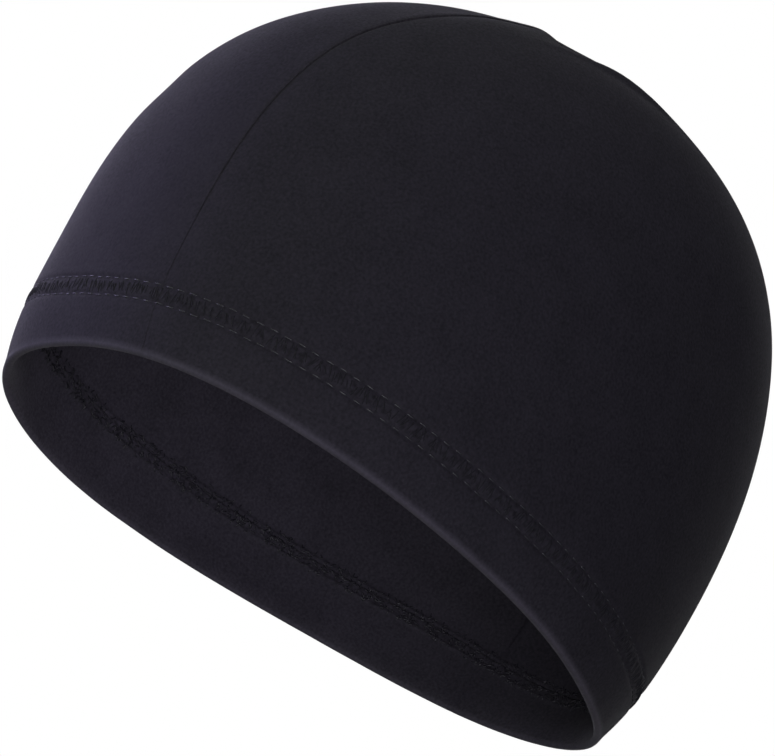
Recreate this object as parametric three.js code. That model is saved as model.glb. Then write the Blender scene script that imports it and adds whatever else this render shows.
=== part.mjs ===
// Helmet liner cap: a thin knit skull cap of three panels, in the rounded form that it takes on a head.
// Millimetres, +Z up, front towards -Y, the wearer's left towards +X.
// The origin is at the top of the hollow, where the crown of the head touches the cloth.
import * as THREE from "three";

// Rim and crown, measured on the outside of the cloth
const rimLength = 190;
const rimWidth = 156;
const rimWidestFromFront = 80;
const crownHeight = 156;
// How far the crown's top lies behind the rim's widest place
const crownLean = 18.8;
// How square the plan is: 2 is an ellipse, more is squarer; the front is squarer than the back
const planSquareness = 2.1;
const frontSquareness = 0.19;
// The rim rises at both ends and dips at the ears, and its front end rises a little more than its back
const rimEndLift = 1.4;
const rimFrontLift = 1.1;

// Cloth and hem
const clothThickness = 1.1;
const hemDepth = 17;
const hemTaper = 1.2;
const hemLayers = 2;

// Centre strip and seams; the cloth dips by seamDip where it rolls into a seam
const stripWidth = 70;
const seamGap = 0.3;
const seamDip = 0.6;
const seamRoll = 3.2;

// Sections of the crown from the rim up, as shares of the crown's height and of the rim's reaches
const sections = [
  { height: 0, front: 1, back: 1, side: 1 },
  { height: 0.1, front: 1.05, back: 1.045, side: 1.05 },
  { height: 0.24, front: 1.09, back: 1.065, side: 1.05 },
  { height: 0.4, front: 1.125, back: 1.055, side: 1.02 },
  { height: 0.56, front: 1.12, back: 1.005, side: 0.965 },
  { height: 0.71, front: 1.04, back: 0.91, side: 0.88 },
  { height: 0.84, front: 0.86, back: 0.765, side: 0.75 },
  { height: 0.93, front: 0.61, back: 0.555, side: 0.58 },
  { height: 0.98, front: 0.32, back: 0.3, side: 0.33 },
  { height: 1, front: 0, back: 0, side: 0 },
];

// Where the rim hangs higher or lower than a level ring: degrees round from the front towards the wearer's
// left, how far the wave spreads round and up, and its lift as a share of the crown's height
const rimWaves = [
  { around: 140, spreadAround: 26, spreadUp: 0.22, lift: -0.02 },
  { around: -122, spreadAround: 34, spreadUp: 0.22, lift: 0.026 },
];

// Soft dents and folds: degrees round, height up, spread round and up, and depth as a share of the height
const dents = [
  { around: -22, up: 0.55, spreadAround: 8, spreadUp: 0.04, depth: 0.006 },
  { around: 112, up: 0.62, spreadAround: 13, spreadUp: 0.09, depth: 0.007 },
  { around: -100, up: 0.5, spreadAround: 15, spreadUp: 0.12, depth: 0.006 },
];

// Mesh steps
const crownRows = 19;
const stripColumns = 8;
const sideColumns = 28;
const foldSteps = 4;
// How steeply the last rows close up towards a seam's top
const rowClimb = 5;

// Numbers of the working-out itself
const solveSteps = 50;
const normalStep = 0.001;
const leastSteepness = 0.05;
const weldStepsPerMm = 1e5;

const halfRimWidth = rimWidth / 2;
const halfStripWidth = stripWidth / 2;
const rimBack = rimLength - rimWidestFromFront;
const rimHeight = clothThickness - crownHeight;
const topKnot = sections.length - 1;
const foldRadius = (hemLayers * clothThickness) / 2;

// A smooth curve through one column of the table, carried over the top so that the crown has no point
function smoothColumn(values, mirror) {
  const farSide = values.slice(0, -1).reverse().map((value) => mirror * value);
  const knots = [...values, ...farSide];
  const last = knots.length - 1;
  const ratio = new Array(last + 1).fill(0);
  const bend = new Array(last + 1).fill(0);
  for (let i = 1; i < last; i++) {
    const pivot = 4 - ratio[i - 1];
    const turn = 6 * (knots[i + 1] - 2 * knots[i] + knots[i - 1]);
    ratio[i] = 1 / pivot;
    bend[i] = (turn - bend[i - 1]) / pivot;
  }
  for (let i = last - 1; i > 0; i--) {
    bend[i] -= ratio[i] * bend[i + 1];
  }
  return (knot) => {
    const i = Math.max(0, Math.min(Math.floor(knot), last - 1));
    const t = knot - i;
    const s = 1 - t;
    const straight = s * knots[i] + t * knots[i + 1];
    return straight + ((s ** 3 - s) * bend[i] + (t ** 3 - t) * bend[i + 1]) / 6;
  };
}

const heightAt = smoothColumn(sections.map((row) => row.height), 1);
const frontAt = smoothColumn(sections.map((row) => row.front), -1);
const backAt = smoothColumn(sections.map((row) => row.back), -1);
const sideAt = smoothColumn(sections.map((row) => row.side), -1);

// The value between low and high where a rising function reaches its target
function solveRising(rising, target, low, high) {
  let from = low;
  let to = high;
  for (let step = 0; step < solveSteps; step++) {
    const middle = (from + to) / 2;
    if (rising(middle) < target) {
      from = middle;
    } else {
      to = middle;
    }
  }
  return (from + to) / 2;
}

const knotAtHeight = (height) => solveRising((knot) => crownHeight * heightAt(knot), height, 0, topKnot);

const bell = (distance, spread) => Math.exp(-((distance / spread) ** 2));

// Degrees from a direction round the head to an angle, the short way
function turnFrom(degrees, angle) {
  const turn = THREE.MathUtils.radToDeg(angle) - degrees;
  return turn - 360 * Math.round(turn / 360);
}

const signedPower = (value, power) => Math.sign(value) * Math.abs(value) ** power;
const planPower = (angle) => 2 / (planSquareness + frontSquareness * Math.cos(angle));

// A point of the crown before its seams and dents; the angle is 0 at the front and 90 degrees at the left
function crownPoint(knot, angle) {
  const height = heightAt(knot);
  const power = planPower(angle);
  const across = signedPower(Math.sin(angle), power);
  const along = signedPower(Math.cos(angle), power);
  const reach = Math.cos(angle) > 0 ? rimWidestFromFront * frontAt(knot) : rimBack * backAt(knot);
  const rimShift = rimEndLift * Math.cos(2 * angle) + rimFrontLift * Math.cos(angle);
  let wave = 0;
  for (const row of rimWaves) {
    const round = bell(turnFrom(row.around, angle), row.spreadAround);
    wave += row.lift * crownHeight * round * bell(height, row.spreadUp);
  }
  return new THREE.Vector3(
    halfRimWidth * sideAt(knot) * across,
    crownLean * (height ** 2 - 1) - reach * along,
    rimHeight + crownHeight * height + rimShift * (1 - height) + wave,
  );
}

// The outward direction at a point of the crown
function crownNormal(knot, angle) {
  const upward = crownPoint(knot + normalStep, angle).sub(crownPoint(knot - normalStep, angle));
  const sideways = crownPoint(knot, angle + normalStep).sub(crownPoint(knot, angle - normalStep));
  const normal = sideways.cross(upward);
  if (knot > topKnot - normalStep) {
    return new THREE.Vector3(0, 0, 1);
  }
  return normal.normalize();
}

// How far the cloth stands in from the plain crown, at the seams and in the dents
function inset(point, normal, knot, angle) {
  const height = heightAt(knot);
  const steepness = Math.sqrt(Math.max(1 - normal.x ** 2, leastSteepness));
  const seamDistance = Math.abs(Math.abs(point.x) - halfStripWidth) / steepness;
  let depth = seamDip * bell(seamDistance, seamRoll / 2);
  for (const dent of dents) {
    const round = bell(turnFrom(dent.around, angle), dent.spreadAround);
    depth += dent.depth * crownHeight * round * bell(height - dent.up, dent.spreadUp);
  }
  return depth;
}

// One layer of cloth on the crown, and more in the hem
function wallThickness(knot) {
  const above = crownHeight * heightAt(knot) - (hemDepth - hemTaper);
  const share = 1 - THREE.MathUtils.smoothstep(above, 0, hemTaper);
  return clothThickness * (1 + (hemLayers - 1) * share);
}

// The outer and inner point of the wall
function wallPair(knot, angle) {
  const plain = crownPoint(knot, angle);
  const normal = crownNormal(knot, angle);
  const outer = plain.clone().addScaledVector(normal, -inset(plain, normal, knot, angle));
  const inner = outer.clone().addScaledVector(normal, -wallThickness(knot));
  return { outer, inner };
}

// Rows from the rim to the top: the fold, the hem's upper edge, then even steps
function rowKnots() {
  const hemStart = knotAtHeight(hemDepth - hemTaper);
  const hemEnd = knotAtHeight(hemDepth);
  const knots = [knotAtHeight(foldRadius), hemStart, hemEnd];
  const steps = crownRows - knots.length;
  for (let step = 1; step <= steps; step++) {
    knots.push(hemEnd + ((topKnot - hemEnd) * step) / steps);
  }
  return knots;
}

// The knot where a row crosses a distance from the middle line; the last row ends where that slice tops out
function knotAtOffset(rowKnot, offset) {
  const halfWidth = (below) => halfRimWidth * sideAt(topKnot - below);
  const sliceTop = topKnot - solveRising(halfWidth, Math.abs(offset), 0, topKnot / 2);
  const climb = (rowKnot / topKnot) ** rowClimb;
  return rowKnot * (1 - (1 - sliceTop / topKnot) * climb);
}

// The angle, on the front or the back half, where the crown is a distance from the middle line
function angleAtOffset(knot, offset, onBack) {
  const halfWidth = halfRimWidth * sideAt(knot);
  const turned = (angle) => (onBack ? Math.PI - angle : angle);
  const width = (angle) => halfWidth * Math.sin(angle) ** planPower(turned(angle));
  const angle = solveRising(width, Math.abs(offset), 0, Math.PI / 2);
  return Math.sign(offset || 1) * turned(angle);
}

// Column places from 0 to 1, with a narrow first and last column for the cloth rolled into the seam
function columnShares(columns, width) {
  const edge = seamRoll / width;
  const shares = [0];
  for (let step = 0; step <= columns - 2; step++) {
    shares.push(edge + ((1 - 2 * edge) * step) / (columns - 2));
  }
  shares.push(1);
  return shares;
}

// The centre strip: columns run from the front rim over the top to the back rim
function stripColumnsOfPairs() {
  const rows = rowKnots();
  const edge = halfStripWidth - seamGap / 2;
  const pairAt = (rowKnot, share, onBack) => {
    const offset = edge * (2 * share - 1);
    const knot = knotAtOffset(rowKnot, offset);
    return wallPair(knot, angleAtOffset(knot, offset, onBack));
  };
  return columnShares(stripColumns, stripWidth).map((share) => {
    const front = rows.map((knot) => pairAt(knot, share, false));
    const back = rows.slice(0, -1).reverse().map((knot) => pairAt(knot, share, true));
    return [...front, ...back];
  });
}

// A side panel: rows run round the side from the front seam to the back one, and meet at the seam's top
function sideColumnsOfPairs(side) {
  const rows = rowKnots();
  const sideLength = rimLength + rimWidth / 2;
  const offset = halfStripWidth + seamGap / 2;
  return columnShares(sideColumns, sideLength).map((share) =>
    rows.map((rowKnot) => {
      const knot = knotAtOffset(rowKnot, offset);
      const atFront = angleAtOffset(knot, offset, false);
      const atBack = angleAtOffset(knot, offset, true);
      const isTop = rowKnot === topKnot;
      const angle = isTop ? Math.PI / 2 : THREE.MathUtils.lerp(atFront, atBack, share);
      return wallPair(knot, side * angle);
    }),
  );
}

// The rounded fold of the cloth at the rim, from the outer face to the inner one
function foldPoints(rimPair, nextPair) {
  const centre = rimPair.outer.clone().lerp(rimPair.inner, 0.5);
  const arm = rimPair.outer.clone().sub(centre);
  const down = rimPair.outer.clone().sub(nextPair.outer).setLength(arm.length());
  const points = [];
  for (let step = 1; step < foldSteps; step++) {
    const turn = (Math.PI * step) / foldSteps;
    const point = centre.clone().addScaledVector(arm, Math.cos(turn));
    points.push(point.addScaledVector(down, Math.sin(turn)));
  }
  return points;
}

// The closed outline of one column: up the outer face, down the inner one and round the fold
function columnRing(pairs, endsAtRim) {
  const last = pairs.length - 1;
  const outer = pairs.map((pair) => pair.outer);
  const inner = pairs.map((pair) => pair.inner).reverse();
  const endFold = endsAtRim ? foldPoints(pairs[last], pairs[last - 1]) : [];
  const startFold = foldPoints(pairs[0], pairs[1]).reverse();
  return [...outer, ...endFold, ...inner, ...startFold];
}

// Triangles over the cut edge of a panel, between its outer and inner face
function edgeTriangles(ring, rows, endFold) {
  const innerOf = (row) => 2 * rows + endFold - 1 - row;
  const triangles = [];
  for (let row = 0; row < rows - 1; row++) {
    triangles.push([ring[row], ring[row + 1], ring[innerOf(row + 1)]]);
    triangles.push([ring[row], ring[innerOf(row + 1)], ring[innerOf(row)]]);
  }
  for (let i = innerOf(0); i < ring.length - 1; i++) {
    triangles.push([ring[0], ring[i], ring[i + 1]]);
  }
  for (let i = rows; i < rows + endFold; i++) {
    triangles.push([ring[rows - 1], ring[i], ring[i + 1]]);
  }
  return triangles;
}

// A closed panel of cloth from its columns
function panelGeometry(columns, endsAtRim) {
  const rings = columns.map((pairs) => columnRing(pairs, endsAtRim));
  const rows = columns[0].length;
  const endFold = endsAtRim ? foldSteps - 1 : 0;
  const triangles = edgeTriangles(rings[0], rows, endFold);
  for (const [a, b, c] of edgeTriangles(rings[rings.length - 1], rows, endFold)) {
    triangles.push([a, c, b]);
  }
  for (let column = 0; column < rings.length - 1; column++) {
    const here = rings[column];
    const next = rings[column + 1];
    for (let i = 0; i < here.length; i++) {
      const up = (i + 1) % here.length;
      triangles.push([here[i], next[i], next[up]]);
      triangles.push([here[i], next[up], here[up]]);
    }
  }
  return closedGeometry(triangles);
}

// Joins triangles into one closed surface that faces outward, without those that have no area
function closedGeometry(triangles) {
  const key = (point) => point.toArray().map((value) => Math.round(value * weldStepsPerMm)).join();
  const places = new Map();
  const positions = [];
  const indexOf = (point) => {
    const name = key(point);
    if (!places.has(name)) {
      places.set(name, places.size);
      positions.push(...point.toArray());
    }
    return places.get(name);
  };
  const indexed = triangles.map((triangle) => triangle.map(indexOf));
  const faces = indexed.filter(([a, b, c]) => a !== b && b !== c && c !== a);
  const volume = triangles.reduce((sum, [a, b, c]) => sum + a.dot(b.clone().cross(c)), 0);
  if (volume < 0) {
    faces.forEach((face) => face.reverse());
  }
  const geometry = new THREE.BufferGeometry();
  geometry.setAttribute("position", new THREE.Float32BufferAttribute(positions, 3));
  geometry.setIndex(faces.flat());
  geometry.computeVertexNormals();
  return geometry;
}

function knitMaterial() {
  return new THREE.MeshStandardMaterial({ color: 0x1d1c24, roughness: 0.92, metalness: 0 });
}

function centerPanel() {
  const mesh = new THREE.Mesh(panelGeometry(stripColumnsOfPairs(), true), knitMaterial());
  mesh.name = "center_panel";
  return mesh;
}

function sidePanel(name, side) {
  const mesh = new THREE.Mesh(panelGeometry(sideColumnsOfPairs(side), false), knitMaterial());
  mesh.name = name;
  return mesh;
}

const cap = new THREE.Group();
cap.add(centerPanel());
cap.add(sidePanel("left_side_panel", 1));
cap.add(sidePanel("right_side_panel", -1));

export default cap;
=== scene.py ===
"""Looks of the helmet liner cap: three panels of thin dark knit, their seams and the cover-stitched hem.

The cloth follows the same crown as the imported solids, worked out again here at a fine step so that the
seams, the hem's rows of stitching and the soft waves of the knit are real shapes. Sizes are in millimetres
and MM turns them into Blender's metres. The front is towards -Y and the wearer's left towards +X.
"""
import math

import bmesh
import bpy
import numpy as np
from mathutils import Matrix, Vector


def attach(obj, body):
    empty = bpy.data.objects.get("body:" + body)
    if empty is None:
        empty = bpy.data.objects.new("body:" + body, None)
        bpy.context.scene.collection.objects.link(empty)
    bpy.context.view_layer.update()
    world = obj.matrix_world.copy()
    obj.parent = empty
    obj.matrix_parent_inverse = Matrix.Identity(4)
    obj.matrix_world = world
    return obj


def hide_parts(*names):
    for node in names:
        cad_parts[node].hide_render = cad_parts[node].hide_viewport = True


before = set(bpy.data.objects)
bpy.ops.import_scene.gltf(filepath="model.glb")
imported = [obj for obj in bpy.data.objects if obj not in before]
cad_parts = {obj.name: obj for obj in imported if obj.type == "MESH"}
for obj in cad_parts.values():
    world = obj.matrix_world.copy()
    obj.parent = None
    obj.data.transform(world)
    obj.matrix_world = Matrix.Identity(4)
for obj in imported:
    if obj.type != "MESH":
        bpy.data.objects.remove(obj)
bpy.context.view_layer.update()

MM = 0.001

# The crown's driving sizes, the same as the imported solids'
RIM_LENGTH = 190.0
RIM_WIDTH = 156.0
RIM_WIDEST_FROM_FRONT = 80.0
CROWN_HEIGHT = 156.0
CROWN_LEAN = 18.8
PLAN_SQUARENESS = 2.1
FRONT_SQUARENESS = 0.19
RIM_END_LIFT = 1.4
RIM_FRONT_LIFT = 1.1
CLOTH = 1.1
STRIP_WIDTH = 70.0

# Sections from the rim up: height, then front, back and side reach, as shares
SECTIONS = np.array([
    (0.00, 1.000, 1.000, 1.000),
    (0.10, 1.050, 1.045, 1.050),
    (0.24, 1.090, 1.065, 1.050),
    (0.40, 1.125, 1.055, 1.020),
    (0.56, 1.120, 1.005, 0.965),
    (0.71, 1.040, 0.910, 0.880),
    (0.84, 0.860, 0.765, 0.750),
    (0.93, 0.610, 0.555, 0.580),
    (0.98, 0.320, 0.300, 0.330),
    (1.00, 0.000, 0.000, 0.000),
])

# Waves of the rim: degrees round, spread round, spread up as a share, lift as a share of the crown's height
RIM_WAVES = ((140, 26, 0.22, -0.02), (-122, 34, 0.22, 0.026))

# Dents: degrees round, height up, spread round, spread up, depth as a share of the crown's height
DENTS = (
    (-22, 0.55, 8, 0.04, 0.006),
    (112, 0.62, 13, 0.09, 0.007),
    (-100, 0.50, 15, 0.12, 0.006),
)

# Seams: the strip's edge stands a little proud, with a sewn line and a shallow hollow beside it.
# All three are faint in the hem and grow up to a share of the crown's height.
SEAM_CLEARANCE = 0.005
SEAM_LINE_DEPTH = 0.28
SEAM_LINE_REACH = 0.6
SEAM_FAINT_SHARE = 0.08
SEAM_FULL_HEIGHT = 0.8
STRIP_EDGE_LIFT = 0.4
STRIP_EDGE_REACH = 2.6
SIDE_EDGE_DIP = 0.22
SIDE_EDGE_REACH = 2.0
ALLOWANCE_WIDTH = 5.0
ALLOWANCE_THICKNESS = 0.35
ALLOWANCE_SOFTNESS = 0.5

# Folds along the left seam over the crown: distance forward of the middle, spread along the seam, distance
# from the seam (negative on the strip), reach across and lift
SEAM_FOLDS = (
    (58, 12, 6, 8, 0.6),
    (58, 12, -6, 5, -0.5),
    (41, 5, 3, 6, 0.75),
    (31, 7, 4, 6.5, -2.3),
    (12, 16, 5, 5, -1.4),
    (17, 20, 12.5, 2.4, 1.3),
)
SEAM_FOLDS_LOWEST = -60.0

# Hem: two outside rows of needle thread, the cover threads between them and the looper band inside.
# The three thread sizes are radii, and the heights count up from the rim.
LOW_ROW = 13.5
HIGH_ROW = 18.3
ROW_MIDDLE = (LOW_ROW + HIGH_ROW) / 2
STITCH_PITCH = 3.9
DASH_SHARE = 0.62
HIGH_ROW_PHASE = 0.35
NEEDLE_THREAD = 0.2
NEEDLE_GROOVE = 0.4
NEEDLE_GROOVE_REACH = 0.7
COVER_THREAD = 0.13
COVER_CROSSINGS = 4
BAND_DIP = 0.05
LOOPER_THREAD = 0.2
LOOPS_PER_STITCH = 14
LOOPER_LOW = 13.0
LOOPER_HIGH = 19.6
HEM_EDGE = 17.0
HEM_EDGE_SOFTNESS = 0.18
RIM_BEAD = 0.25
RIM_BEAD_REACH = 1.6

# Unevenness of the sewing: starts and leans in shares of a stitch, the rest in millimetres or thread radii
NEEDLE_START_DRIFT = 0.04
NEEDLE_HEIGHT_DRIFT = 0.12
COVER_START_DRIFT = 0.12
COVER_LEAN = 0.35
COVER_END_GAP = (0.2, 1.6)
LOOP_REACH = (0.5, 1.2)
LOOP_SWERVE = 0.6
LOOP_RISE = (0.3, 1.6)

# The hem is sewn a little higher round the wearer's right: how much, where round it starts and ends, and
# the height over which the mesh's rows above it settle back
HEM_RISE = 6.0
HEM_RISE_FRONT = (10, -45)
HEM_RISE_BACK = (-178, -135)
HEM_RISE_FADE = 50.0

# Cloth waves over the crown, which die out towards the rim: depth, wavelength and where they grow
WAVE_AMPLITUDE = 0.35
WAVE_LENGTH = 38.0
WAVE_START = 12.0

# Puckers, deepest between the rows of stitching: depth, wavelength, share beside the rows and reach up
HEM_PUCKER = 0.13
HEM_PUCKER_LENGTH = 6.0
HEM_PUCKER_PLAIN_SHARE = 0.3
HEM_PUCKER_REACH = 30.0

# Steps of the cloth's mesh: rows are fine over the stitching and columns are fine beside the seams
FINE_ROWS_START = 11.5
FINE_ROWS_END = 20.5
FINE_ROW_STEPS = (14, 34)
PLAIN_ROWS = 140
ROW_GATHER_POWER = 5
FINE_COLUMN_WIDTH = 6.0
FINE_COLUMN_STEPS = (9, 5)
STRIP_STEPS = 44
SIDE_STEPS = 170
FOLD_STEPS = 7
FOLD_MAP_STEP = 0.5
WELD_METRES = 1e-7
SHARP_DEGREES = 55

# Light of the white surround on the cloth, as a share of what the camera sees of it
SURROUND_LIGHT = 0.02

# Share of the light that each face of the thin cloth lets through
THROUGH_LIGHT = 0.1

# Knit: its colours and finish, the distances between its ribs and its rows of loops, and the ribs' bend
KNIT_COLOUR = (0.013, 0.012, 0.0165)
KNIT_ROUGHNESS = 0.8
KNIT_SPECULAR = 0.12
SHEEN_WEIGHT = 0.05
SHEEN_ROUGHNESS = 0.3
THROUGH_COLOUR = (0.95, 0.92, 0.92)
RIB_PITCH = 0.62
COURSE_PITCH = 0.5
COURSE_SKEW = 0.9

# Features to each metre of the cloth's grain, of the ruffles between the stitched rows and of faint patches
GRAIN_SCALE = 1250
RUFFLE_SCALE = 800
RUFFLE_CONTRAST = 4
PATCH_SCALE = 90

# Relief of the cloth: what the ribs and ruffles add to the grain, then the bump's strength and depth
RIB_RELIEF = 0.2
RUFFLE_RELIEF = 0.9
BUMP_STRENGTH = 0.8
BUMP_DEPTH = 0.14

# Tone of the cloth, as a share of its colour: what is plain, the least, and what each part adds.
# A painted highlight pales the fold of the rim, up to a small reach from the rim.
TONE_PLAIN = 0.15
TONE_LEAST = 0.15
TONE_GRAIN = 1.3
TONE_PATCH = 0.4
# The ruffles' tone is painted shade and light: darker in their hollows, paler on their crests.
RUFFLE_PAINTED_SHADING = 0.45
RIM_PAINTED_HIGHLIGHT = 1.5
RIM_PAINTED_HIGHLIGHT_REACH = 0.8

# Threads: colour, roughness and specular level
NEEDLE_FINISH = ((0.02, 0.02, 0.024), 0.5, 0.35)
SUNK_FINISH = ((0.007, 0.007, 0.009), 0.7, 0.15)
LOOPER_FINISH = ((0.012, 0.0115, 0.015), 0.5, 0.3)

# Floor: how far under the cap, half its width in metres, its tone and its own glow, which lights nothing else
FLOOR_DROP = 2.0
FLOOR_REACH = 30.0
FLOOR_TONE = 0.85
FLOOR_GLOW = 0.8

# Soft square lights: size, distance and aim in metres; degrees from the front, degrees up, watts, colour
LIGHT_SIZE = 0.7
LIGHT_DISTANCE = 1.5
LIGHT_AIM = Vector((0, 0, -0.08))
LIGHTS = (
    ("front_light", 62, -20, 19, (0.93, 0.9, 1.0)),
    ("side_key", -50, 5, 15, (0.6, 0.5, 1.0)),
    ("forehead_light", -20, 0, 7, (0.9, 1.0, 0.75)),
    ("top_light", 20, 75, 8, (0.95, 0.97, 1.0)),
    ("low_light", 75, -70, 3, (0.9, 1.0, 0.8)),
    ("back_light", -125, 10, 3.5, (0.95, 0.95, 1.0)),
    ("far_side_light", -90, 20, 5.5, (0.8, 0.74, 1.0)),
)

# Camera: degrees round from the front, up and rolled, its lens, and its place in millimetres
CAMERA_TURN = 61.558
CAMERA_UP = -19.882
CAMERA_ROLL = 29.445
CAMERA_LENS = 155.376
CAMERA_PLACE = Vector((741.5, -413.1, -406.2))

TOP_KNOT = len(SECTIONS) - 1
RIM_Z = CLOTH - CROWN_HEIGHT
HALF_WIDTH = RIM_WIDTH / 2
HALF_STRIP = STRIP_WIDTH / 2
RIM_BACK = RIM_LENGTH - RIM_WIDEST_FROM_FRONT


def smooth_column(values, mirror):
    """A smooth curve through a column of the table, carried over the top so that the crown has no point."""
    knots = np.concatenate([values, mirror * values[-2::-1]])
    last = len(knots) - 1
    inner = np.arange(1, last)
    system = np.eye(last + 1)
    turn = np.zeros(last + 1)
    system[inner, inner - 1] = 1
    system[inner, inner] = 4
    system[inner, inner + 1] = 1
    turn[inner] = 6 * (knots[inner + 1] - 2 * knots[inner] + knots[inner - 1])
    bend = np.linalg.solve(system, turn)

    def at(knot):
        i = np.clip(np.floor(knot).astype(int), 0, last - 1)
        t = knot - i
        s = 1 - t
        straight = s * knots[i] + t * knots[i + 1]
        return straight + ((s ** 3 - s) * bend[i] + (t ** 3 - t) * bend[i + 1]) / 6

    return at


height_at = smooth_column(SECTIONS[:, 0], 1)
front_at = smooth_column(SECTIONS[:, 1], -1)
back_at = smooth_column(SECTIONS[:, 2], -1)
side_at = smooth_column(SECTIONS[:, 3], -1)


def bell(distance, spread):
    """1 at no distance, falling softly to 0."""
    return np.exp(-((distance / spread) ** 2))


def turn_from(degrees, angle):
    """Degrees from a direction round the head to an angle, the short way."""
    turn = np.degrees(angle) - degrees
    return turn - 360 * np.round(turn / 360)


def plan_power(angle):
    """The power that squares up the plan, a little more at the front."""
    return 2 / (PLAN_SQUARENESS + FRONT_SQUARENESS * np.cos(angle))


def ease(share):
    """A soft step from 0 to 1."""
    share = np.clip(share, 0, 1)
    return share * share * (3 - 2 * share)


def falling(beyond, softness):
    """1 before an edge and 0 beyond it, with a soft step between."""
    return 1 / (1 + np.exp(np.minimum(beyond / softness, 50)))


def hem_rise(angle):
    """How much higher than on the wearer's left the hem is sewn."""
    degrees = np.degrees(angle)
    front = ease((degrees - HEM_RISE_FRONT[0]) / (HEM_RISE_FRONT[1] - HEM_RISE_FRONT[0]))
    back = ease((degrees - HEM_RISE_BACK[0]) / (HEM_RISE_BACK[1] - HEM_RISE_BACK[0]))
    return HEM_RISE * front * back


def signed_power(value, power):
    """A power of a value's size that keeps its sign."""
    return np.sign(value) * np.abs(value) ** power


def crown_point(knot, angle):
    """Points of the plain crown; the angle is 0 at the front and 90 degrees at the wearer's left."""
    height = height_at(knot)
    power = plan_power(angle)
    across = signed_power(np.sin(angle), power)
    along = signed_power(np.cos(angle), power)
    reach = np.where(np.cos(angle) > 0, RIM_WIDEST_FROM_FRONT * front_at(knot), RIM_BACK * back_at(knot))
    shift = RIM_END_LIFT * np.cos(2 * angle) + RIM_FRONT_LIFT * np.cos(angle)
    wave = 0
    for degrees, spread_round, spread_up, lift in RIM_WAVES:
        round_share = bell(turn_from(degrees, angle), spread_round)
        wave = wave + lift * CROWN_HEIGHT * round_share * bell(height, spread_up)
    x = HALF_WIDTH * side_at(knot) * across
    y = CROWN_LEAN * (height ** 2 - 1) - reach * along
    z = RIM_Z + CROWN_HEIGHT * height + shift * (1 - height) + wave
    return np.stack(np.broadcast_arrays(x, y, z), -1)


def crown_normal(knot, angle):
    """Outward directions of the plain crown."""
    step = 0.001
    upward = crown_point(knot + step, angle) - crown_point(knot - step, angle)
    sideways = crown_point(knot, angle + step) - crown_point(knot, angle - step)
    normal = np.cross(sideways, upward)
    length = np.linalg.norm(normal, axis=-1, keepdims=True)
    at_top = (length < 1e-12) | (knot > TOP_KNOT - step)[..., None]
    return np.where(at_top, np.array([0.0, 0.0, 1.0]), normal / np.maximum(length, 1e-12))


def solve_rising(rising, target, low, high):
    """Where rising functions, one for each target, reach their targets."""
    start = np.full(np.shape(target), float(low))
    end = np.full(np.shape(target), float(high))
    for _ in range(45):
        middle = (start + end) / 2
        below = rising(middle) < target
        start = np.where(below, middle, start)
        end = np.where(below, end, middle)
    return (start + end) / 2


def knot_at_height(height):
    """The knot where the crown reaches a height above the rim."""
    return solve_rising(lambda knot: CROWN_HEIGHT * height_at(knot), np.asarray(height, float), 0, TOP_KNOT)


def knot_at_offset(row_knot, offset):
    """The knot where a row crosses a distance from the middle line; the last row is that slice's top."""

    def half_width(below):
        return HALF_WIDTH * side_at(TOP_KNOT - below)

    slice_top = TOP_KNOT - solve_rising(half_width, np.abs(offset), 0, TOP_KNOT / 2)
    gather = (row_knot / TOP_KNOT) ** ROW_GATHER_POWER
    return row_knot * (1 - (1 - slice_top / TOP_KNOT) * gather)


def angle_at_offset(knot, offset, on_back):
    """The angle, on the front or the back half, where the crown is a distance from the middle line."""
    half_width = HALF_WIDTH * side_at(knot)

    def turned(angle):
        return np.pi - angle if on_back else angle

    def width(angle):
        return half_width * np.sin(angle) ** plan_power(turned(angle))

    angle = solve_rising(width, np.abs(offset), 0, np.pi / 2)
    return np.where(offset < 0, -1, 1) * turned(angle)


class SoftNoise:
    """Smooth seeded noise in space, about -1 to 1."""

    def __init__(self, seed, size=24):
        self.size = size
        self.lattice = np.random.default_rng(seed).uniform(-1, 1, (size, size, size))

    def at(self, points, wavelength):
        place = points / wavelength
        base = np.floor(place).astype(int)
        part = place - base
        near = ease(part)
        total = 0
        for corner in np.ndindex(2, 2, 2):
            weight = np.prod(np.where(np.array(corner) == 1, near, 1 - near), axis=-1)
            cell = (base + corner) % self.size
            total = total + weight * self.lattice[cell[..., 0], cell[..., 1], cell[..., 2]]
        return total


wave_noise = SoftNoise(seed=7)
pucker_noise = SoftNoise(seed=19)


def seam_distance(point, normal):
    """Distance along the cloth from the nearer seam, negative on the centre strip."""
    steepness = np.sqrt(np.maximum(1 - normal[..., 0] ** 2, 0.05))
    return (np.abs(point[..., 0]) - HALF_STRIP) / steepness


def seam_fold(point, seam):
    """The folds and dents that the left seam draws into the cloth over the crown."""
    lift = 0
    for forward, spread, from_seam, reach, height in SEAM_FOLDS:
        lift = lift + height * bell(point[..., 1] + forward, spread) * bell(seam - from_seam, reach)
    return lift * (point[..., 0] > 0) * (point[..., 2] > SEAM_FOLDS_LOWEST)


def stitched_share(knot, angle):
    """1 midway between the hem's two rows of stitching, falling to 0 outside them."""
    sewn_height = CROWN_HEIGHT * height_at(knot) - hem_rise(angle)
    return bell(sewn_height - ROW_MIDDLE, (HIGH_ROW - LOW_ROW) / 2)


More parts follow.
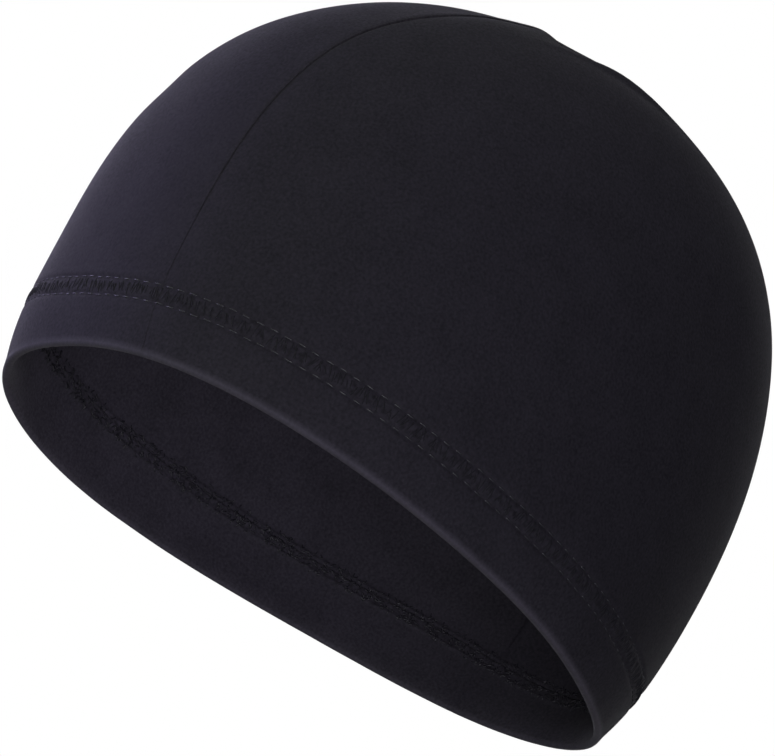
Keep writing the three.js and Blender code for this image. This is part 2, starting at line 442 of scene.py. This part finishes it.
def outer_lift(point, normal, knot, angle):
    """How far the cloth's outer face stands off the plain crown."""
    height = height_at(knot)
    above_rim = CROWN_HEIGHT * height
    sewn_height = above_rim - hem_rise(angle)
    seam = seam_distance(point, normal)
    shown = SEAM_FAINT_SHARE + (1 - SEAM_FAINT_SHARE) * ease(height / SEAM_FULL_HEIGHT)
    edges = -SEAM_LINE_DEPTH * bell(seam, SEAM_LINE_REACH)
    edges = edges + np.where(seam < 0, STRIP_EDGE_LIFT * np.exp(np.minimum(seam, 0) / STRIP_EDGE_REACH), 0)
    edges = edges - np.where(seam < 0, 0, SIDE_EDGE_DIP * np.exp(-np.maximum(seam, 0) / SIDE_EDGE_REACH))
    lift = edges * shown + seam_fold(point, seam)
    for degrees, up, spread_round, spread_up, depth in DENTS:
        round_share = bell(turn_from(degrees, angle), spread_round)
        lift = lift - depth * CROWN_HEIGHT * round_share * bell(height - up, spread_up)
    for row in (LOW_ROW, HIGH_ROW):
        lift = lift - NEEDLE_GROOVE * bell(sewn_height - row, NEEDLE_GROOVE_REACH)
    band = stitched_share(knot, angle)
    lift = lift - BAND_DIP * band
    lift = lift + RIM_BEAD * bell(above_rim - CLOTH, RIM_BEAD_REACH)
    free = 1 - bell(above_rim, WAVE_START)
    lift = lift + WAVE_AMPLITUDE * free * wave_noise.at(point, WAVE_LENGTH)
    pucker = pucker_noise.at(point, HEM_PUCKER_LENGTH) * bell(above_rim, HEM_PUCKER_REACH)
    return lift + HEM_PUCKER * (band + HEM_PUCKER_PLAIN_SHARE) * pucker


def wall_thickness(point, normal, knot, angle):
    """One layer of cloth, two in the hem, and more over the seam allowance inside."""
    sewn_height = CROWN_HEIGHT * height_at(knot) - hem_rise(angle)
    hem = falling(sewn_height - HEM_EDGE, HEM_EDGE_SOFTNESS)
    inward = -seam_distance(point, normal)
    allowance = falling(inward - ALLOWANCE_WIDTH, ALLOWANCE_SOFTNESS) * (inward > 0) * (1 - hem)
    return CLOTH * (1 + hem) + ALLOWANCE_THICKNESS * allowance


def cloth_points(knot, angle):
    """The outer and inner faces of the cloth."""
    point = crown_point(knot, angle)
    normal = crown_normal(knot, angle)
    outer = point + normal * outer_lift(point, normal, knot, angle)[..., None]
    inner = outer - normal * wall_thickness(point, normal, knot, angle)[..., None]
    return outer, inner, normal


def graded(breaks, steps):
    """Values that run through the breaks with a chosen number of steps between each pair."""
    parts = [np.linspace(breaks[i], breaks[i + 1], steps[i], endpoint=False) for i in range(len(steps))]
    return np.append(np.concatenate(parts), breaks[-1])


def row_knots():
    """Rows up the crown: fine over the hem's rows of stitching, even above them."""
    low = knot_at_height(graded((CLOTH, FINE_ROWS_START, FINE_ROWS_END), FINE_ROW_STEPS))
    return np.concatenate([low, np.linspace(low[-1], TOP_KNOT, PLAIN_ROWS)[1:]])


def seam_graded(width, middle_steps):
    """Shares across a panel, fine beside both seams."""
    near = FINE_COLUMN_WIDTH / width
    steps = (*FINE_COLUMN_STEPS, middle_steps, *FINE_COLUMN_STEPS[::-1])
    return graded((0, near / 2, near, 1 - near, 1 - near / 2, 1), steps)


def follow_hem(knot, angle):
    """Moves the rows of a grid with the hem, so that its finest rows stay over the stitching."""
    above_rim = CROWN_HEIGHT * height_at(knot)
    share = ease(above_rim / FINE_ROWS_START) * (1 - ease((above_rim - FINE_ROWS_END) / HEM_RISE_FADE))
    moved = knot_at_height(above_rim + share * hem_rise(angle))
    return np.where(share > 0, moved, knot)


def strip_grid():
    """Knots and angles over the centre strip: rows from the front rim over the top to the back rim."""
    rows = row_knots()
    share = seam_graded(STRIP_WIDTH, STRIP_STEPS)
    edge = HALF_STRIP - SEAM_CLEARANCE
    offset = edge * (2 * share[None, :] - 1) + 0 * rows[:, None]
    knot = knot_at_offset(rows[:, None] + 0 * offset, offset)
    front = angle_at_offset(knot, offset, False)
    back = angle_at_offset(knot, offset, True)
    knots = np.concatenate([knot, knot[-2::-1]])
    angles = np.concatenate([front, back[-2::-1]])
    return follow_hem(knots, angles), angles


def side_grid(side):
    """Knots and angles over a side panel: rows run round from the front seam to the back one."""
    rows = row_knots()
    share = seam_graded(RIM_LENGTH, SIDE_STEPS)
    offset = HALF_STRIP + SEAM_CLEARANCE + 0 * rows
    knot = knot_at_offset(rows, offset)
    front = angle_at_offset(knot, offset, False)
    back = angle_at_offset(knot, offset, True)
    angle = front[:, None] + (back - front)[:, None] * share[None, :]
    return follow_hem(knot[:, None] + 0 * angle, side * angle), side * angle


def fold_rows(outer, inner, away):
    """Rows that carry the cloth round the fold at the rim, from the outer face to the inner one."""
    centre = (outer + inner) / 2
    arm = outer - centre
    radius = np.linalg.norm(arm, axis=-1, keepdims=True)
    down = away / np.linalg.norm(away, axis=-1, keepdims=True) * radius
    turns = [math.pi * step / FOLD_STEPS for step in range(1, FOLD_STEPS)]
    return [centre + arm * math.cos(turn) + down * math.sin(turn) for turn in turns]


def wall_rows(outer, inner, ends_at_rim):
    """One closed loop of rows: up the outer face, down the inner one and round the folds."""
    start = fold_rows(outer[0], inner[0], outer[0] - outer[1])
    rows = list(outer)
    if ends_at_rim:
        rows += fold_rows(outer[-1], inner[-1], outer[-1] - outer[-2])
    rows += list(inner[::-1])
    rows += start[::-1]
    return np.array(rows)


def knit_lengths(outer):
    """Distances over the cloth, across and along, that the knit's pattern follows."""
    across = np.linalg.norm(np.diff(outer, axis=1), axis=-1)
    along = np.linalg.norm(np.diff(outer, axis=0), axis=-1)
    u = np.concatenate([np.zeros((outer.shape[0], 1)), np.cumsum(across, axis=1)], axis=1)
    v = np.concatenate([np.zeros((1, outer.shape[1])), np.cumsum(along, axis=0)], axis=0)
    u = u - u[:, u.shape[1] // 2][:, None]
    return u, v


def mesh_object(name, points, faces, material):
    """A new piece of one material, from points in millimetres."""
    mesh = bpy.data.meshes.new(name)
    mesh.from_pydata((points * MM).tolist(), [], faces)
    mesh.validate()
    mesh.update()
    mesh.materials.append(material)
    piece = bpy.data.objects.new(name, mesh)
    bpy.context.scene.collection.objects.link(piece)
    return piece


def lay_knit(piece, u, v):
    """Gives the cloth its own map in millimetres, so that the knit runs up every panel."""
    layer = piece.data.uv_layers.new(name="knit")
    corners = np.empty(len(piece.data.loops), dtype=int)
    piece.data.loops.foreach_get("vertex_index", corners)
    layer.data.foreach_set("uv", np.stack([u.ravel()[corners], v.ravel()[corners]], -1).ravel())


def lay_share(piece, name, share):
    """Gives each point of the cloth a value that the knit's material reads."""
    layer = piece.data.attributes.new(name, "FLOAT", "POINT")
    layer.data.foreach_set("value", share.ravel())


def panel_faces(index, outer_count, end_fold):
    """Quads between a panel's rows, which run round in a loop, and the faces that close its two sides."""
    after = np.roll(index, -1, axis=0)
    quads = np.stack([index[:, :-1], index[:, 1:], after[:, 1:], after[:, :-1]], -1).reshape(-1, 4)
    last_inner = 2 * outer_count + end_fold - 1
    caps = []
    for row in range(outer_count - 1):
        caps.append((row, row + 1, last_inner - row - 1, last_inner - row))
    for row in range(last_inner, len(index) - 1):
        caps.append((0, row, row + 1))
    for row in range(outer_count, outer_count + end_fold):
        caps.append((outer_count - 1, row, row + 1))
    first_side = [[int(index[row, 0]) for row in reversed(cap)] for cap in caps]
    last_side = [[int(index[row, -1]) for row in cap] for cap in caps]
    return quads.tolist() + first_side + last_side


def panel(name, knots, angles, ends_at_rim, material):
    """One closed panel of cloth over a grid of knots and angles."""
    outer, inner, _ = cloth_points(knots, angles)
    rows = wall_rows(outer, inner, ends_at_rim)
    count, width = rows.shape[:2]
    if not ends_at_rim:
        top = len(outer) - 1
        rows[top] = rows[top, width // 2]
        rows[top + 1] = rows[top + 1, width // 2]
    folds = count - 2 * len(outer)
    end_fold = folds // 2 if ends_at_rim else 0
    start_fold = folds - end_fold
    index = np.arange(count * width).reshape(count, width)
    piece = mesh_object(name, rows.reshape(-1, 3), panel_faces(index, len(outer), end_fold), material)

    u, v = knit_lengths(outer)
    rim_v = v[:1] - np.arange(1, start_fold + 1)[:, None] * FOLD_MAP_STEP
    end_v = v[-1:] + np.arange(1, end_fold + 1)[:, None] * FOLD_MAP_STEP
    all_u = np.concatenate([u, np.repeat(u[-1:], end_fold, 0), u[::-1], np.repeat(u[:1], start_fold, 0)])
    all_v = np.concatenate([v, end_v, v[::-1], rim_v[::-1]])
    lay_knit(piece, all_u, all_v)

    stitched = stitched_share(knots, angles)
    end_plain = np.zeros((end_fold, width))
    start_plain = np.zeros((start_fold, width))
    lay_share(piece, "stitched", np.concatenate([stitched, end_plain, stitched[::-1], start_plain]))
    # Painted highlight: the cloth is made paler on the outer face near the rim and round its folds, not on
    # the inner face.
    rim_painted_highlight = bell(CROWN_HEIGHT * height_at(knots) - CLOTH, RIM_PAINTED_HIGHLIGHT_REACH)
    end_painted_highlight = end_plain + np.linspace(1, 0, end_fold + 2)[1:-1, None]
    start_painted_highlight = start_plain + np.linspace(1, 0, start_fold + 2)[1:-1, None]
    lay_share(piece, "rim_painted_highlight", np.concatenate([rim_painted_highlight, end_painted_highlight, 0 * rim_painted_highlight, start_painted_highlight[::-1]]))
    weld(piece)
    return piece


def weld(piece):
    """Joins doubled points, faces every face outward and keeps only real corners sharp."""
    shape = bmesh.new()
    shape.from_mesh(piece.data)
    bmesh.ops.remove_doubles(shape, verts=shape.verts, dist=WELD_METRES)
    bmesh.ops.dissolve_degenerate(shape, edges=shape.edges, dist=WELD_METRES / 10)
    bmesh.ops.recalc_face_normals(shape, faces=shape.faces)
    shape.to_mesh(piece.data)
    shape.free()
    for polygon in piece.data.polygons:
        polygon.use_smooth = True
    piece.data.set_sharp_from_angle(angle=math.radians(SHARP_DEGREES))


def row_round(above_rim):
    """A level line round the cap: its length, and the angle at any distance along it from the back."""
    knot = knot_at_height(above_rim)
    angles = np.linspace(-np.pi, np.pi, 4001)
    points = crown_point(knot + 0 * angles, angles)
    run = np.concatenate([[0], np.cumsum(np.linalg.norm(np.diff(points, axis=0), axis=-1))])

    def angle_at(along):
        return np.interp(np.mod(along, run[-1]), run, angles)

    return run[-1], angle_at


def thread_path(share_round, above_rim, lift, inside=False):
    """Points on the cloth's face: shares of the way round, heights above the rim and stand-off distances."""
    shares = np.asarray(share_round, float)
    length, angle_at = row_round(ROW_MIDDLE)
    angle = angle_at(shares * length)
    knot = knot_at_height(above_rim + hem_rise(angle))
    outer, inner, normal = cloth_points(knot, angle)
    if inside:
        return inner - normal * lift[..., None], -normal
    return outer + normal * lift[..., None], normal


def tubes(name, paths, outward, radius, material, sides=6):
    """Threads: one closed tube along each path, thinner at both ends."""
    count, steps = paths.shape[:2]
    ahead = np.gradient(paths, axis=1)
    ahead /= np.linalg.norm(ahead, axis=-1, keepdims=True)
    across = np.cross(ahead, outward)
    across /= np.linalg.norm(across, axis=-1, keepdims=True)
    up = np.cross(across, ahead)
    share = np.linspace(0, 1, steps)
    swell = radius * np.sqrt(np.clip(1 - (2 * share - 1) ** 8, 0.04, 1))
    turn = np.linspace(0, 2 * np.pi, sides, endpoint=False)
    ring = across[:, :, None] * np.cos(turn)[:, None] + up[:, :, None] * np.sin(turn)[:, None]
    points = paths[:, :, None] + ring * swell[None, :, None, None]
    index = np.arange(count * steps * sides).reshape(count, steps, sides)
    after = np.roll(index, -1, axis=2)
    quads = np.stack([index[:, :-1], after[:, :-1], after[:, 1:], index[:, 1:]], -1).reshape(-1, 4)
    faces = quads.tolist() + index[:, 0, ::-1].tolist() + index[:, -1].tolist()
    piece = mesh_object(name, points.reshape(-1, 3), faces, material)
    for polygon in piece.data.polygons:
        polygon.use_smooth = True
    return piece


def stitch_count():
    """How many stitches one row has."""
    length, _ = row_round(ROW_MIDDLE)
    return round(length / STITCH_PITCH)


def needle_rows(material):
    """The two outside rows of needle thread: a dash over the cloth, then a dip into it."""
    count = stitch_count()
    random = np.random.default_rng(3)
    step = np.linspace(0, 1, 9)
    lift = NEEDLE_THREAD * (1.1 * np.sin(np.pi * step) ** 0.5 - 0.6)
    paths = []
    outward = []
    for row, phase in ((LOW_ROW, 0.0), (HIGH_ROW, HIGH_ROW_PHASE)):
        drift = random.uniform(-NEEDLE_START_DRIFT, NEEDLE_START_DRIFT, count)
        start = (np.arange(count) + phase + drift) / count
        share = start[:, None] + step * DASH_SHARE / count
        height = row + random.uniform(-NEEDLE_HEIGHT_DRIFT, NEEDLE_HEIGHT_DRIFT, (count, 1)) + 0 * step
        path, normal = thread_path(share, height, lift + 0 * share)
        paths.append(path)
        outward.append(normal)
    return tubes("needle_stitches", np.concatenate(paths), np.concatenate(outward), NEEDLE_THREAD, material)


def cover_threads(material):
    """The cover threads that cross between the two rows in short uneven stretches, half sunk in the cloth."""
    count = stitch_count()
    random = np.random.default_rng(5)
    step = np.linspace(0, 1, 7)
    paths = []
    outward = []
    for phase in np.arange(COVER_CROSSINGS) / COVER_CROSSINGS:
        drift = random.uniform(-COVER_START_DRIFT, COVER_START_DRIFT, count)
        start = (np.arange(count) + phase + drift) / count
        reach = random.uniform(-COVER_LEAN, COVER_LEAN, (count, 1))
        low = LOW_ROW + random.uniform(*COVER_END_GAP, (count, 1))
        high = HIGH_ROW - random.uniform(*COVER_END_GAP, (count, 1))
        share = start[:, None] + step * reach / count
        height = low + step * (high - low)
        lift = COVER_THREAD * (1.2 * np.sin(np.pi * step) ** 0.6 - 0.6) + 0 * share
        path, normal = thread_path(share, height, lift)
        paths.append(path)
        outward.append(normal)
    return tubes("cover_threads", np.concatenate(paths), np.concatenate(outward), COVER_THREAD, material)


def looper_band(material):
    """The band of looper threads inside, over the raw edge of the turned hem: a thicket of small loops."""
    count = stitch_count() * LOOPS_PER_STITCH
    random = np.random.default_rng(11)
    step = np.linspace(0, 1, 7)
    length, _ = row_round(ROW_MIDDLE)
    turn = random.uniform(0, 2 * np.pi, count)
    reach = random.uniform(*LOOP_REACH, count)
    swerve = random.uniform(-LOOP_SWERVE, LOOP_SWERVE, count)
    middle = random.uniform(LOOPER_LOW, LOOPER_HIGH, count)
    start = random.uniform(0, length, count)
    along = (step - 0.5)[None, :] * 2 * reach[:, None]
    aside = np.sin(np.pi * step)[None, :] * swerve[:, None]
    across = along * np.cos(turn)[:, None] - aside * np.sin(turn)[:, None]
    upward = along * np.sin(turn)[:, None] + aside * np.cos(turn)[:, None]
    share = (start[:, None] + across) / length
    rise = random.uniform(*LOOP_RISE, (count, 1))
    lift = LOOPER_THREAD * (rise * np.sin(np.pi * step) ** 0.5 + 0.1)
    path, normal = thread_path(share, middle[:, None] + upward, lift, inside=True)
    return tubes("looper_band", path, normal, LOOPER_THREAD, material, sides=5)


def new_material(name, colour, roughness, specular):
    """A plain material and its shader."""
    material = bpy.data.materials.new(name)
    material.use_nodes = True
    shader = material.node_tree.nodes["Principled BSDF"]
    shader.inputs["Base Color"].default_value = (*colour, 1)
    shader.inputs["Roughness"].default_value = roughness
    shader.inputs["Specular IOR Level"].default_value = specular
    return material, shader


class NodeMaths:
    """Adds maths nodes to a node tree and joins them to what they work on."""

    def __init__(self, tree):
        self.nodes = tree.nodes
        self.links = tree.links

    def join(self, operation, *values):
        """A new node's result; each value is a number or another node's result."""
        node = self.nodes.new("ShaderNodeMath")
        node.operation = operation
        for socket, value in zip(node.inputs, values):
            if isinstance(value, (int, float)):
                socket.default_value = value
            else:
                self.links.new(value, socket)
        return node.outputs[0]

    def add(self, first, second):
        return self.join("ADD", first, second)

    def times(self, first, second):
        return self.join("MULTIPLY", first, second)


def knit_ribs(maths):
    """The ribs of the knit, bent by the rows of loops that cross them, as a wave between -1 and 1."""
    place = maths.nodes.new("ShaderNodeUVMap")
    place.uv_map = "knit"
    parts = maths.nodes.new("ShaderNodeSeparateXYZ")
    maths.links.new(place.outputs["UV"], parts.inputs[0])
    rib_turn = maths.times(parts.outputs["X"], 2 * math.pi / RIB_PITCH)
    course_turn = maths.times(parts.outputs["Y"], 2 * math.pi / COURSE_PITCH)
    skew = maths.times(maths.join("SINE", course_turn), COURSE_SKEW)
    return maths.join("SINE", maths.add(rib_turn, skew))


def noise_value(maths, place, scale, detail):
    """Noise of a number of features to each metre."""
    node = maths.nodes.new("ShaderNodeTexNoise")
    node.inputs["Scale"].default_value = scale
    node.inputs["Detail"].default_value = detail
    maths.links.new(place, node.inputs["Vector"])
    return node.outputs["Fac"]


def share_value(maths, name):
    """A value that lay_share gave to the cloth."""
    node = maths.nodes.new("ShaderNodeAttribute")
    node.attribute_name = name
    return node.outputs["Fac"]


def toned(maths, tone, colour):
    """A colour times a tone, which may be over 1."""
    node = maths.nodes.new("ShaderNodeMix")
    node.data_type = "RGBA"
    node.clamp_factor = False
    node.inputs["A"].default_value = (0, 0, 0, 1)
    node.inputs["B"].default_value = (*colour, 1)
    maths.links.new(tone, node.inputs["Factor"])
    return node.outputs["Result"]


def knit_material():
    """Fine matt knit: bent ribs, uneven grain, a soft sheen, and a little light let through, with painted
    shade and light over the ruffles and a painted highlight along the fold of the rim.
    """
    material, shader = new_material("dark_knit", KNIT_COLOUR, KNIT_ROUGHNESS, KNIT_SPECULAR)
    shader.inputs["Sheen Weight"].default_value = SHEEN_WEIGHT
    shader.inputs["Sheen Roughness"].default_value = SHEEN_ROUGHNESS
    maths = NodeMaths(material.node_tree)
    nodes, links = maths.nodes, maths.links
    where = nodes.new("ShaderNodeTexCoord").outputs["Object"]
    grain = noise_value(maths, where, GRAIN_SCALE, 3)
    ruffle = noise_value(maths, where, RUFFLE_SCALE, 1)
    patch = noise_value(maths, where, PATCH_SCALE, 2)
    puckers = maths.times(maths.join("SUBTRACT", ruffle, 0.5), RUFFLE_CONTRAST)
    drawn = maths.times(share_value(maths, "stitched"), puckers)

    relief = maths.add(maths.times(knit_ribs(maths), RIB_RELIEF), grain)
    relief = maths.add(relief, maths.times(drawn, RUFFLE_RELIEF))
    bump = nodes.new("ShaderNodeBump")
    bump.inputs["Strength"].default_value = BUMP_STRENGTH
    bump.inputs["Distance"].default_value = BUMP_DEPTH * MM
    links.new(relief, bump.inputs["Height"])
    links.new(bump.outputs["Normal"], shader.inputs["Normal"])

    tone = maths.add(maths.times(grain, TONE_GRAIN), TONE_PLAIN)
    tone = maths.add(tone, maths.times(patch, TONE_PATCH))
    # Painted shade and light over the ruffles: the same pattern as their bump, darker where it sinks.
    tone = maths.add(tone, maths.times(drawn, RUFFLE_PAINTED_SHADING))
    # Painted highlight along the fold of the rim, added to the tone.
    tone = maths.add(tone, maths.times(share_value(maths, "rim_painted_highlight"), RIM_PAINTED_HIGHLIGHT))
    tone = maths.join("MAXIMUM", tone, TONE_LEAST)
    links.new(toned(maths, tone, KNIT_COLOUR), shader.inputs["Base Color"])

    glow = nodes.new("ShaderNodeBsdfTranslucent")
    links.new(toned(maths, tone, THROUGH_COLOUR), glow.inputs["Color"])
    mix = nodes.new("ShaderNodeMixShader")
    mix.inputs[0].default_value = THROUGH_LIGHT
    links.new(shader.outputs[0], mix.inputs[1])
    links.new(glow.outputs[0], mix.inputs[2])
    links.new(mix.outputs[0], nodes["Material Output"].inputs["Surface"])
    return material


def make_stage():
    """A plain pale floor well below the cap, which hangs where a head would hold it."""
    mesh = bpy.data.meshes.new("floor")
    reach = FLOOR_REACH
    corners = [(-reach, -reach, 0), (reach, -reach, 0), (reach, reach, 0), (-reach, reach, 0)]
    mesh.from_pydata(corners, [], [(0, 1, 2, 3)])
    floor = bpy.data.objects.new("floor", mesh)
    floor.location = (0, 0, -FLOOR_DROP)
    bpy.context.scene.collection.objects.link(floor)
    material = bpy.data.materials.new("pale_floor")
    material.use_nodes = True
    shader = material.node_tree.nodes["Principled BSDF"]
    shader.inputs["Base Color"].default_value = (FLOOR_TONE, FLOOR_TONE, FLOOR_TONE, 1)
    shader.inputs["Roughness"].default_value = 0.9
    shader.inputs["Emission Color"].default_value = (1, 1, 1, 1)
    shader.inputs["Emission Strength"].default_value = FLOOR_GLOW
    mesh.materials.append(material)
    floor.visible_diffuse = False
    floor.visible_glossy = False
    floor.visible_transmission = False


def make_camera():
    """The photograph's view: from the wearer's left and front, below the rim, with the cap leaning right."""
    a, e, r = (math.radians(value) for value in (CAMERA_TURN, CAMERA_UP, CAMERA_ROLL))
    back = Vector((math.sin(a) * math.cos(e), -math.cos(a) * math.cos(e), math.sin(e)))
    right = Vector((math.cos(a), math.sin(a), 0))
    up = back.cross(right)
    picture_right = right * math.cos(r) + up * math.sin(r)
    picture_up = -right * math.sin(r) + up * math.cos(r)
    data = bpy.data.cameras.new("camera")
    data.lens = CAMERA_LENS
    data.sensor_width = 36.0
    data.clip_start = 0.01
    data.clip_end = 100
    camera = bpy.data.objects.new("camera", data)
    axes = Matrix((picture_right, picture_up, back)).transposed()
    camera.matrix_world = Matrix.Translation(CAMERA_PLACE * MM) @ axes.to_4x4()
    bpy.context.scene.collection.objects.link(camera)
    bpy.context.scene.camera = camera


def around(degrees, elevation):
    """A light's place round the cap: degrees from the front towards the wearer's left, and degrees up."""
    a, e = math.radians(degrees), math.radians(elevation)
    return Vector((
        LIGHT_DISTANCE * math.sin(a) * math.cos(e),
        -LIGHT_DISTANCE * math.cos(a) * math.cos(e),
        LIGHT_DISTANCE * math.sin(e) - CROWN_HEIGHT * MM / 2,
    ))


def area_light(name, place, power, colour):
    """A soft square light that faces the cap and doesn't show."""
    data = bpy.data.lights.new(name, "AREA")
    data.shape = "SQUARE"
    data.size = LIGHT_SIZE
    data.energy = power
    data.color = colour
    light = bpy.data.objects.new(name, data)
    light.location = place
    light.rotation_euler = (LIGHT_AIM - place).to_track_quat("-Z", "Y").to_euler()
    light.visible_camera = False
    bpy.context.scene.collection.objects.link(light)


def make_lights():
    """A surround that looks white but lights weakly, and soft lights, the strongest near the camera."""
    world = bpy.data.worlds.new("studio")
    world.use_nodes = True
    maths = NodeMaths(world.node_tree)
    background = maths.nodes["Background"]
    background.inputs["Color"].default_value = (1, 1, 1, 1)
    seen = maths.nodes.new("ShaderNodeLightPath").outputs["Is Camera Ray"]
    strength = maths.add(maths.times(seen, 1 - SURROUND_LIGHT), SURROUND_LIGHT)
    maths.links.new(strength, background.inputs["Strength"])
    bpy.context.scene.world = world
    bpy.context.scene.view_settings.view_transform = "Standard"
    for name, degrees, elevation, power, colour in LIGHTS:
        area_light(name, around(degrees, elevation), power, colour)


def build_cap():
    """The three panels of knit and the threads of the hem, all riding on the one body."""
    knit = knit_material()
    needle_thread, _ = new_material("needle_thread", *NEEDLE_FINISH)
    sunk_thread, _ = new_material("sunk_thread", *SUNK_FINISH)
    looper_thread, _ = new_material("looper_thread", *LOOPER_FINISH)
    strip = panel("center_panel_knit", *strip_grid(), True, knit)
    left = panel("left_side_panel_knit", *side_grid(1), False, knit)
    right = panel("right_side_panel_knit", *side_grid(-1), False, knit)
    for piece, node in ((strip, "center_panel"), (left, "left_side_panel"), (right, "right_side_panel")):
        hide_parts(node)
    threads = (needle_rows(needle_thread), cover_threads(sunk_thread), looper_band(looper_thread))
    for piece in (strip, left, right, *threads):
        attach(piece, "root")


build_cap()
make_stage()
make_camera()
make_lights()
